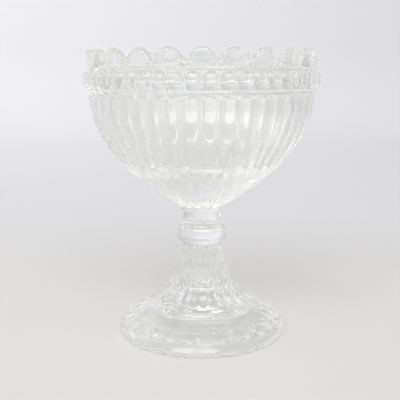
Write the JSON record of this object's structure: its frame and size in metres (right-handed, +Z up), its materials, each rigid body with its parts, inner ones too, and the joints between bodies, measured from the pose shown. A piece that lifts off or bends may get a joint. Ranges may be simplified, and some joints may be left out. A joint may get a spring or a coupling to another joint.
{
  "type": "footed glass dessert bowl",
  "caption": "Clear pressed-glass dessert bowl on a ribbed stem and round foot, with a scalloped rim, a beaded band and vertical reeds.",
  "frame": {"origin": "centre of the flat ring that the foot stands on, at table height", "axes": "+Z up along the axis of the bowl, stem and foot; -Y towards the camera of the picture, where a scallop faces the front"},
  "size_m": [0.1022, 0.1022, 0.125],
  "materials": {
    "bowl_glass": "clear fire-polished pressed glass",
    "knop_glass": "clear fire-polished glass",
    "foot_glass": "clear fire-polished pressed glass"
  },
  "bodies": {
    "root": {"bowl": "bowl_glass", "knop": "knop_glass", "foot": "foot_glass"}
  },
  "joints": []
}
